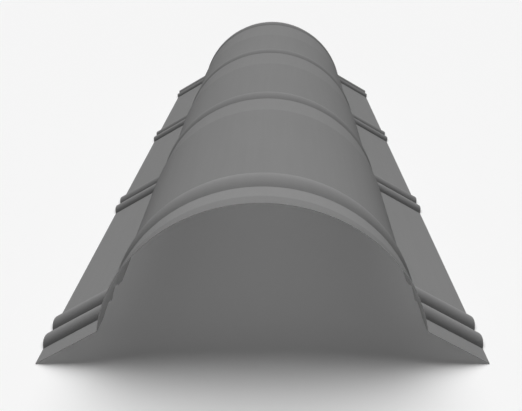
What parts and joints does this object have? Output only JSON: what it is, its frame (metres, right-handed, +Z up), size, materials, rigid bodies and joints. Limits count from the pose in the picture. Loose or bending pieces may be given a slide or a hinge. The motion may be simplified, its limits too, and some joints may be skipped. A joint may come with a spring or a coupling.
{
  "type": "roof ridge cap",
  "caption": "Half-round sheet-steel roof ridge cap with pressed cross joints and sloping side flanges that lie on both roof slopes.",
  "frame": {"origin": "midway along and across the cap, on the level that its flange edges lie on", "axes": "+Y along the ridge, from the end with the longer lip towards the other end; +Z up; +X across the ridge"},
  "size_m": [0.308, 0.807, 0.1165],
  "materials": {
    "coated_steel": "matt grey coil coating"
  },
  "bodies": {
    "root": {"ridge_cap": "coated_steel"}
  },
  "joints": []
}
